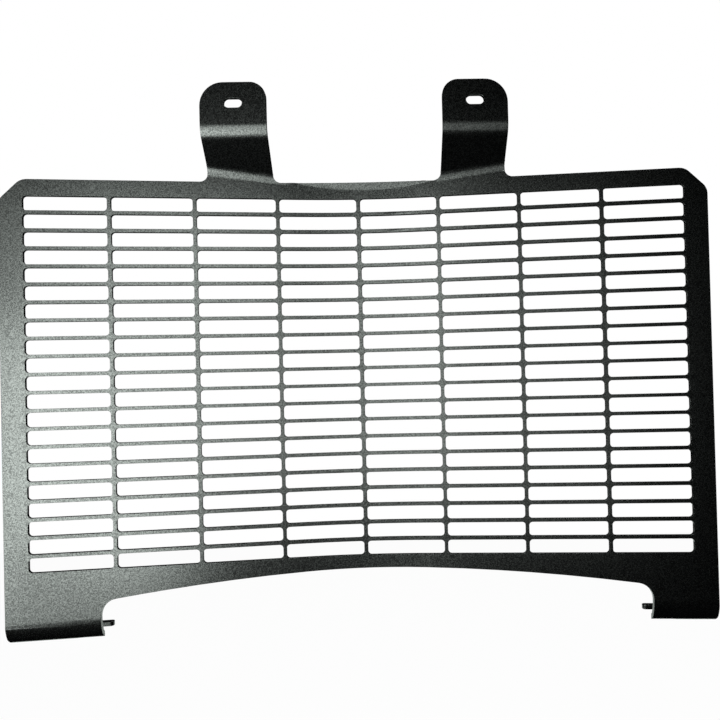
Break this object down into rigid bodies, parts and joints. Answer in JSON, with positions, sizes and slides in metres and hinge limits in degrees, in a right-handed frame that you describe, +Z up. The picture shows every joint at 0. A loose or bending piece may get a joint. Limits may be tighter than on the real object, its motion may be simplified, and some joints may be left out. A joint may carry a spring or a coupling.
{
  "type": "radiator guard",
  "caption": "Hollow-curved slotted sheet-metal guard for a motorcycle radiator, with stepped bolt tabs above and curled, notched legs below.",
  "frame": {"origin": "midway between the two slotted bolt holes, on the rear face of the tabs that are bolted down", "axes": "+X across the guard, to the right as seen from the front; +Y to the rear, square to the tabs; +Z up"},
  "size_m": [0.395, 0.0383, 0.3074],
  "materials": {
    "powder_coat": "satin black powder coat with a fine grain"
  },
  "bodies": {
    "root": {"radiator_guard": "powder_coat"}
  },
  "joints": []
}
